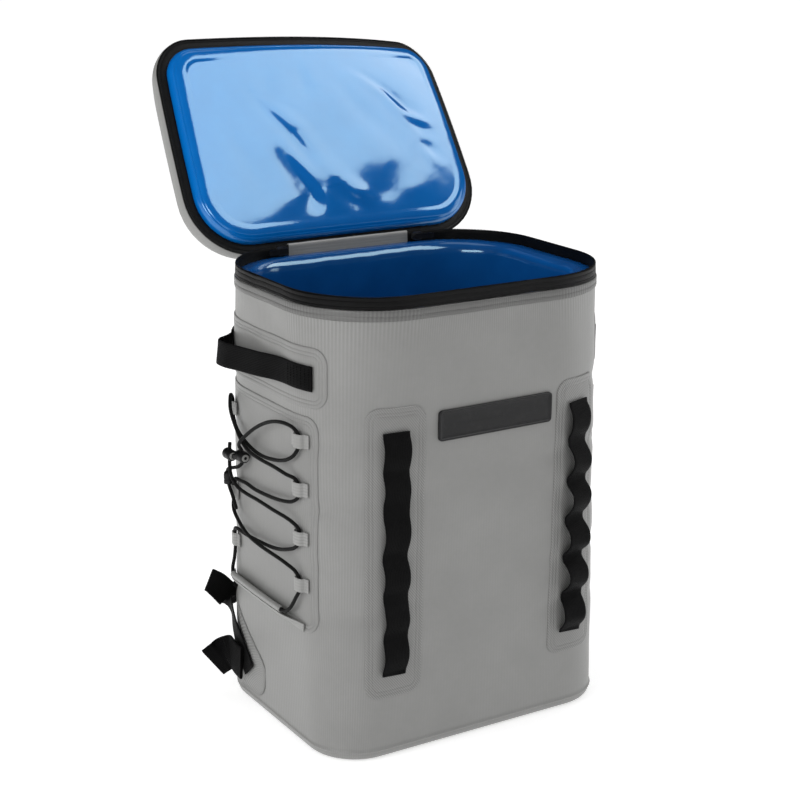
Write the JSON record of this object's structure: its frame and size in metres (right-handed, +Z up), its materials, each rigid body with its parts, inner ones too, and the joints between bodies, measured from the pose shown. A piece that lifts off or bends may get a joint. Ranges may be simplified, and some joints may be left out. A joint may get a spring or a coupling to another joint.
{
  "type": "backpack",
  "caption": "Soft-sided cooler backpack in grey welded fabric, lid open, with blue liner, webbing ladders, side handles and laced shock cord",
  "frame": {"origin": "middle of the flat base, on the surface that the bag stands on", "axes": "+Z up, label side towards -Y, shoulder straps towards +Y, handles at -X and +X"},
  "size_m": [0.4032, 0.4331, 0.6833],
  "materials": {
    "tarpaulin": "satin grey coated fabric with a fine weave",
    "liner": "glossy blue liner film",
    "zip_tape": "black coated zip tape",
    "webbing": "woven black webbing",
    "pad": "black padded mesh",
    "shock_cord": "black braided elastic cord",
    "plate": "matte black rubber",
    "buckle": "black moulded plastic",
    "zip_metal": "dark coated metal"
  },
  "bodies": {
    "root": {"body_shell": "tarpaulin", "body_liner": "liner", "rim_band": "tarpaulin", "mouth_tape": "zip_tape", "hinge_panel": "tarpaulin", "lid_shell": "tarpaulin", "lid_tape": "zip_tape", "lid_liner": "liner", "zip_slider_left": "zip_metal", "zip_pull_left": "zip_tape", "zip_slider_right": "zip_metal", "zip_pull_right": "zip_tape", "label_plate": "plate", "ladder_patch_left": "tarpaulin", "ladder_webbing_left": "webbing", "ladder_patch_right": "tarpaulin", "ladder_webbing_right": "webbing", "strap_yoke": "tarpaulin", "handle_patch_left": "tarpaulin", "side_handle_left": "webbing", "lacing_patch_left": "tarpaulin", "lace_loop_left_front_1": "tarpaulin", "lace_loop_left_front_2": "tarpaulin", "lace_loop_left_front_3": "tarpaulin", "lace_loop_left_front_4": "tarpaulin", "lace_loop_left_rear_1": "tarpaulin", "lace_loop_left_rear_2": "tarpaulin", "lace_loop_left_rear_3": "tarpaulin", "side_pocket_left": "tarpaulin", "pocket_hem_left": "tarpaulin", "lace_cord_left": "shock_cord", "cord_lock_left_upper": "buckle", "cord_lock_left_lower": "buckle", "anchor_patch_left": "tarpaulin", "strap_webbing_left": "webbing", "belt_tab_left": "webbing", "shoulder_pad_left": "pad", "ladder_lock_left": "buckle", "handle_patch_right": "tarpaulin", "side_handle_right": "webbing", "lacing_patch_right": "tarpaulin", "lace_loop_right_front_1": "tarpaulin", "lace_loop_right_front_2": "tarpaulin", "lace_loop_right_front_3": "tarpaulin", "lace_loop_right_front_4": "tarpaulin", "lace_loop_right_rear_1": "tarpaulin", "lace_loop_right_rear_2": "tarpaulin", "lace_loop_right_rear_3": "tarpaulin", "side_pocket_right": "tarpaulin", "pocket_hem_right": "tarpaulin", "lace_cord_right": "shock_cord", "cord_lock_right_upper": "buckle", "cord_lock_right_lower": "buckle", "anchor_patch_right": "tarpaulin", "strap_webbing_right": "webbing", "belt_tab_right": "webbing", "shoulder_pad_right": "pad", "ladder_lock_right": "buckle"}
  },
  "joints": []
}
